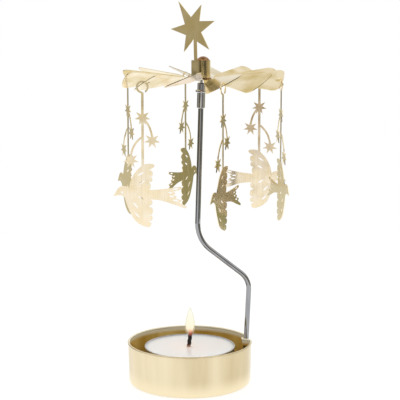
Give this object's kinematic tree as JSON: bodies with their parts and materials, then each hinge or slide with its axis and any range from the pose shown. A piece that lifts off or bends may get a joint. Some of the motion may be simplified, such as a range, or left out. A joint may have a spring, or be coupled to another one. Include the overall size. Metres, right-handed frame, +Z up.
{
  "type": "angel chime carousel",
  "caption": "Rotary tealight carousel: a bladed rotor with hanging birds and stars turns on a needle above a round candle tray.",
  "frame": {"origin": "centre of the tray's flat underside, on the table", "axes": "+Z up along the tray's axis; the viewer of the picture stands on the -Y side; the stem's socket is on the +X side of the tray, turned 11 degrees towards +Y"},
  "size_m": [0.0729, 0.0862, 0.1608],
  "materials": {
    "tray_gold": "bright pale gold plating",
    "cup_aluminium": "drawn foil, bright",
    "candle_wax": "satin white wax",
    "sustainer_steel": "tinned",
    "wick_cotton": "burnt braided cotton",
    "wire_chrome": "bright chrome",
    "ferrule_steel": "bright turned steel",
    "needle_steel": "ground steel",
    "cap_brass": "polished, warm",
    "rotor_gold": "polished pale gold sheet",
    "star_gold": "polished pale gold sheet",
    "pendant_gold": "polished pale gold sheet"
  },
  "bodies": {
    "tray": {"tray": "tray_gold"},
    "tealight": {"tealight_cup": "cup_aluminium", "tealight_wax": "candle_wax", "wick_sustainer": "sustainer_steel", "wick": "wick_cotton"},
    "stem": {"stem_wire": "wire_chrome", "stem_ferrule": "ferrule_steel", "pivot_needle": "needle_steel"},
    "rotor": {"rotor": "rotor_gold", "bearing_cap": "cap_brass", "top_star": "star_gold"},
    "pendant_1": {"bird_pendant_1": "pendant_gold"},
    "pendant_2": {"bird_pendant_2": "pendant_gold"},
    "pendant_3": {"bird_pendant_3": "pendant_gold"},
    "pendant_4": {"bird_pendant_4": "pendant_gold"},
    "pendant_5": {"bird_pendant_5": "pendant_gold"},
    "pendant_6": {"bird_pendant_6": "pendant_gold"}
  },
  "joints": [
    {"name": "rotor_spin", "type": "hinge", "parent": "stem", "child": "rotor", "pos_m": [0.00564, 0.0011, 0.13745], "axis": [0, 0, 1], "continuous": true},
    {"name": "tealight_lift", "type": "slide", "parent": "tray", "child": "tealight", "axis": [0, 0, 1], "range_m": [0, 0.022]},
    {"name": "stem_lift", "type": "slide", "parent": "tray", "child": "stem", "axis": [0.0445, 0.0087, 0.999], "range_m": [0, 0.018]},
    {"name": "pendant_swing_1", "type": "hinge", "parent": "rotor", "child": "pendant_1", "pos_m": [0.01325, -0.03087, 0.12927], "axis": [-0.9664, -0.2571, 0], "range_deg": [-10, 30]},
    {"name": "pendant_swing_2", "type": "hinge", "parent": "rotor", "child": "pendant_2", "pos_m": [0.03705, -0.0086, 0.12927], "axis": [-0.2605, -0.9655, 0], "range_deg": [-10, 30]},
    {"name": "pendant_swing_3", "type": "hinge", "parent": "rotor", "child": "pendant_3", "pos_m": [0.02975, 0.02345, 0.12927], "axis": [0.7059, -0.7083, 0], "range_deg": [-10, 30]},
    {"name": "pendant_swing_4", "type": "hinge", "parent": "rotor", "child": "pendant_4", "pos_m": [-0.00193, 0.03307, 0.12926], "axis": [0.9664, 0.2571, 0], "range_deg": [-10, 30]},
    {"name": "pendant_swing_5", "type": "hinge", "parent": "rotor", "child": "pendant_5", "pos_m": [-0.02578, 0.01065, 0.12925], "axis": [0.2605, 0.9655, 0], "range_deg": [-10, 30]},
    {"name": "pendant_swing_6", "type": "hinge", "parent": "rotor", "child": "pendant_6", "pos_m": [-0.01834, -0.02134, 0.12925], "axis": [-0.7059, 0.7083, 0], "range_deg": [-10, 30]}
  ]
}
